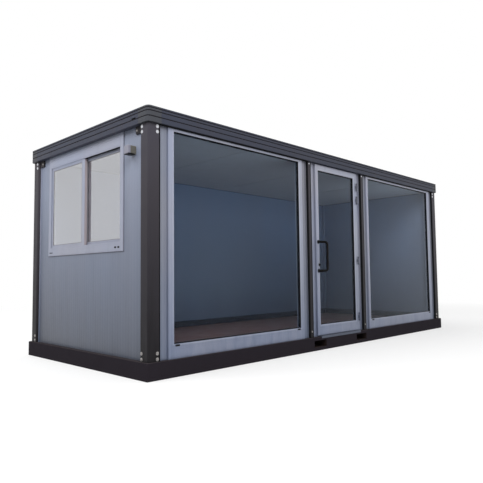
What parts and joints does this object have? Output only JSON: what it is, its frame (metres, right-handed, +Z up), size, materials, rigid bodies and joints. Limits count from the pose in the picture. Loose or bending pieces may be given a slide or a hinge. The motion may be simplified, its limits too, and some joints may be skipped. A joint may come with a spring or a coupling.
{
  "type": "glazed sales container",
  "caption": "Single-storey steel-framed sales cabin with full-height shop glazing, a hinged glass door, a sliding side window and fork pockets.",
  "frame": {"origin": "centre of the footprint, on the ground", "axes": "+X along the length, to the right as seen from the shop front; +Y from the shop front to the back wall; +Z up"},
  "size_m": [6.086, 2.4992, 2.47],
  "materials": {
    "frame_steel": "satin paint, light dust",
    "wall_panel": "satin coated sheet",
    "silver_profile": "satin silver coating",
    "filler_profile": "satin grey-silver coating",
    "solar_glass": "clear insulating glass with a solar-control tint",
    "window_glass": "clear insulating glass",
    "floor_covering": "satin vinyl",
    "ceiling_board": "matt white board",
    "roof_sheet": "dull galvanised sheet",
    "skirting": "matt",
    "inlet_plastic": "matt moulded plastic",
    "threshold": "dull anodised",
    "black_handle": "satin black",
    "lock_steel": "brushed",
    "hinge_silver": "satin",
    "seal_rubber": "dull black",
    "bolt_zinc": "bright zinc plated"
  },
  "bodies": {
    "container": {"base_rail_front": "frame_steel", "base_rail_back": "frame_steel", "base_rail_left": "frame_steel", "base_rail_right": "frame_steel", "base_corners": "frame_steel", "floor_joists": "frame_steel", "fork_pockets": "frame_steel", "floor": "floor_covering", "corner_post_front_left": "frame_steel", "corner_post_front_right": "frame_steel", "corner_post_back_left": "frame_steel", "corner_post_back_right": "frame_steel", "door_post_left": "frame_steel", "door_post_right": "frame_steel", "roof_rail_front": "frame_steel", "roof_rail_back": "frame_steel", "roof_rail_left": "frame_steel", "roof_rail_right": "frame_steel", "roof_corners": "frame_steel", "roof_sheet": "roof_sheet", "ceiling": "ceiling_board", "back_wall_panel_1": "wall_panel", "back_wall_panel_2": "wall_panel", "back_wall_panel_3": "wall_panel", "back_wall_panel_4": "wall_panel", "back_wall_panel_5": "wall_panel", "right_wall_panel_1": "wall_panel", "right_wall_panel_2": "wall_panel", "left_wall_lower_panel": "wall_panel", "left_wall_front_panel": "wall_panel", "left_wall_rear_panel": "wall_panel", "skirting": "skirting", "window_frame": "silver_profile", "window_sashes": "silver_profile", "window_panes": "window_glass", "power_inlet": "inlet_plastic", "glazing_frame_left": "silver_profile", "glazing_frame_right": "silver_profile", "glazing_panes": "solar_glass", "filler_strips": "filler_profile", "door_jambs": "silver_profile", "door_head": "silver_profile", "door_threshold": "threshold", "door_hinge_brackets": "hinge_silver"},
    "door": {"door_leaf": "silver_profile", "door_glass": "solar_glass", "door_pull_handle": "black_handle", "door_lock": "lock_steel", "door_hinge_leaves": "hinge_silver"}
  },
  "joints": [
    {"name": "door_hinge", "type": "hinge", "parent": "container", "child": "door", "pos_m": [0.474, -1.201, 1.243], "axis": [0, 0, 1], "range_deg": [0, 100]}
  ]
}
